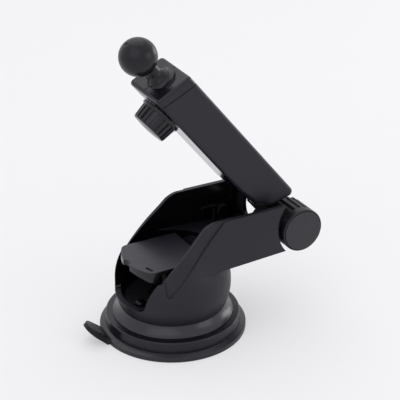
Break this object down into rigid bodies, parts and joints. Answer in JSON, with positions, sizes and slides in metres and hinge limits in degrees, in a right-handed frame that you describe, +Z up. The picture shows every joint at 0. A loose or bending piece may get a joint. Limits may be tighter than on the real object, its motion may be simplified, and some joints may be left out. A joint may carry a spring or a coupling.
{
  "type": "car phone mount",
  "caption": "Suction phone mount with a release lever, a folding telescopic arm, a hinge knob, an extension lock and a ball for a phone holder.",
  "frame": {"origin": "centre of the suction cup's bottom face", "axes": "+Z up out of the cup; the lever opens towards -X, the arm hinges about Y at +X, the hinge knob is on -Y"},
  "size_m": [0.1114, 0.0686, 0.1438],
  "materials": {
    "cup_rubber": "soft matt rubber",
    "gel": "sticky gel sheet",
    "ring_plastic": "satin",
    "skirt_plastic": "glossy",
    "shell_plastic": "satin",
    "lever_plastic": "smooth satin",
    "arm_plastic": "satin",
    "cap_plastic": "glossy",
    "ball_plastic": "satin",
    "knob_plastic": "satin",
    "inner_plastic": "plain moulded",
    "nylon": "natural nylon",
    "steel": "zinc plated",
    "brass": "turned"
  },
  "bodies": {
    "base": {"suction_cup": "cup_rubber", "gel_layer": "gel", "pressure_ring": "ring_plastic", "flared_skirt": "skirt_plastic", "base_plate": "inner_plastic", "base_screws": "steel", "near_shell": "shell_plastic", "far_shell": "shell_plastic", "shell_screws": "steel", "stem_bush": "nylon", "wear_plate": "steel", "return_spring": "steel", "hinge_bracket": "inner_plastic", "bracket_screws": "steel", "pivot_bolt": "steel", "friction_disc": "nylon"},
    "stem": {"suction_stem": "steel", "lever_pin": "steel"},
    "lever": {"release_lever": "lever_plastic"},
    "arm": {"pivot_ear": "inner_plastic", "arm_casing_near": "arm_plastic", "arm_casing_far": "arm_plastic", "casing_screws": "steel", "lock_nut": "brass"},
    "washer": {"thrust_washer": "steel"},
    "hinge_knob": {"pivot_knob": "knob_plastic", "knob_cap": "knob_plastic", "knob_insert": "brass"},
    "slider": {"slider_rail": "inner_plastic", "end_cap": "cap_plastic", "cap_screws": "steel", "ball_stud": "ball_plastic"},
    "shoe": {"clamp_shoe": "nylon"},
    "lock_knob": {"extension_screw": "steel", "extension_knob": "cap_plastic"}
  },
  "joints": [
    {"name": "stem_slide", "type": "slide", "parent": "base", "child": "stem", "axis": [0, 0, -1], "range_m": [0, 0.0025], "deforming": ["return_spring", "suction_cup"]},
    {"name": "lever_hinge", "type": "hinge", "parent": "stem", "child": "lever", "pos_m": [0, 0, 0.026], "axis": [0, 1, 0], "range_deg": [0, 60]},
    {"name": "arm_hinge", "type": "hinge", "parent": "base", "child": "arm", "pos_m": [0.0574, 0, 0.0441], "axis": [0, 1, 0], "range_deg": [-33, 125]},
    {"name": "extension_slide", "type": "slide", "parent": "arm", "child": "slider", "axis": [-0.6334, 0, 0.7738], "range_m": [0, 0.045]},
    {"name": "clamp_slide", "type": "slide", "parent": "arm", "child": "shoe", "axis": [-0.7738, 0, -0.6334], "range_m": [0, 0.0005]},
    {"name": "lock_turn", "type": "hinge", "parent": "shoe", "child": "lock_knob", "pos_m": [0.00166, 0, 0.1122], "axis": [-0.7738, 0, -0.6334], "range_deg": [0, 270]},
    {"name": "washer_slide", "type": "slide", "parent": "base", "child": "washer", "axis": [0, -1, 0], "range_m": [0, 0.0012]},
    {"name": "knob_turn", "type": "hinge", "parent": "washer", "child": "hinge_knob", "pos_m": [0.0574, 0, 0.0441], "axis": [0, -1, 0], "range_deg": [0, 540]}
  ],
  "couplings": [
    {"joint": "lever_hinge", "follows": "stem_slide", "rad_per_m": 418.87},
    {"joint": "lock_turn", "follows": "clamp_slide", "rad_per_m": 9424.7},
    {"joint": "knob_turn", "follows": "washer_slide", "rad_per_m": 7853.9}
  ]
}
